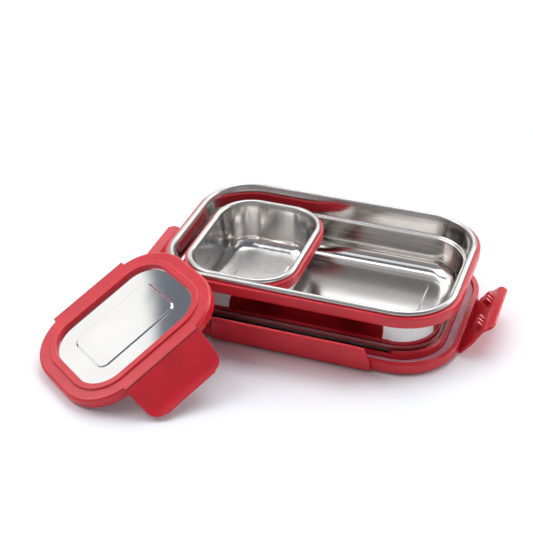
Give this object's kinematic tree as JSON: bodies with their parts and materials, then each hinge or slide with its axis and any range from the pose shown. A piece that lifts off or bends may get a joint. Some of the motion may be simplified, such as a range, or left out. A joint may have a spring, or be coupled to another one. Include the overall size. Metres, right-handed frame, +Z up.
{
  "type": "lunch box",
  "caption": "Steel lunch box standing in its upturned clip lid, with a smaller steel box inside and that box's own clip lid leaning on the rim.",
  "frame": {"origin": "middle of the main lid's outer face, level with the lip that rests on the table, straight below the middle of the main box", "axes": "+X along the main box's long side, away from the inner box; +Y towards the back, away from the leaning lid; +Z up"},
  "size_m": [0.286, 0.2527, 0.0542],
  "materials": {
    "steel": "polished stainless-steel sheet",
    "red_plastic": "satin red polypropylene",
    "seal": "soft translucent silicone"
  },
  "bodies": {
    "main_lid": {"main_lid_frame": "red_plastic", "main_lid_plate": "steel", "main_lid_gasket": "seal", "front_hinge_web": "red_plastic", "back_hinge_web": "red_plastic", "left_hinge_web": "red_plastic", "right_hinge_web": "red_plastic"},
    "front_clip": {"front_clip": "red_plastic"},
    "back_clip": {"back_clip": "red_plastic"},
    "left_clip": {"left_clip": "red_plastic"},
    "right_clip": {"right_clip": "red_plastic"},
    "main_container": {"main_tray": "steel", "main_collar": "red_plastic"},
    "small_container": {"small_tray": "steel", "small_collar": "red_plastic"},
    "small_lid": {"small_lid_frame": "red_plastic", "small_lid_plate": "steel", "small_lid_gasket": "seal", "small_front_hinge_web": "red_plastic", "small_back_hinge_web": "red_plastic"},
    "small_front_clip": {"small_front_clip": "red_plastic"},
    "small_back_clip": {"small_back_clip": "red_plastic"}
  },
  "joints": [
    {"name": "front_clip_hinge", "type": "hinge", "parent": "main_lid", "child": "front_clip", "pos_m": [0, -0.07085, 0.0019], "axis": [1, 0, 0], "range_deg": [-20, 65], "stiffness_Nm_per_rad": 0.016},
    {"name": "back_clip_hinge", "type": "hinge", "parent": "main_lid", "child": "back_clip", "pos_m": [0, 0.07085, 0.0019], "axis": [-1, 0, 0], "range_deg": [-24, 61], "stiffness_Nm_per_rad": 0.016},
    {"name": "right_clip_hinge", "type": "hinge", "parent": "main_lid", "child": "right_clip", "pos_m": [0.10595, 0, 0.0019], "axis": [0, 1, 0], "range_deg": [-38, 47], "stiffness_Nm_per_rad": 0.016},
    {"name": "left_clip_hinge", "type": "hinge", "parent": "main_lid", "child": "left_clip", "pos_m": [-0.10595, 0, 0.0019], "axis": [0, -1, 0], "range_deg": [-40, 45], "stiffness_Nm_per_rad": 0.016},
    {"name": "main_container_lift", "type": "slide", "parent": "main_lid", "child": "main_container", "axis": [0, 0, 1], "range_m": [0, 0.1]},
    {"name": "small_container_lift", "type": "slide", "parent": "main_container", "child": "small_container", "axis": [0, 0, 1], "range_m": [0, 0.08]},
    {"name": "small_lid_lift", "type": "slide", "parent": "main_container", "child": "small_lid", "axis": [0, 0, 1], "range_m": [0, 0.08]},
    {"name": "small_front_clip_hinge", "type": "hinge", "parent": "small_lid", "child": "small_front_clip", "pos_m": [-0.06116, -0.13826, 0.03047], "axis": [-0.5154, -0.7499, -0.4148], "range_deg": [-39, 71], "stiffness_Nm_per_rad": 0.016},
    {"name": "small_back_clip_hinge", "type": "hinge", "parent": "small_lid", "child": "small_back_clip", "pos_m": [-0.13764, -0.0857, 0.03047], "axis": [0.5154, 0.7499, 0.4148], "range_deg": [-39, 71], "stiffness_Nm_per_rad": 0.016}
  ]
}
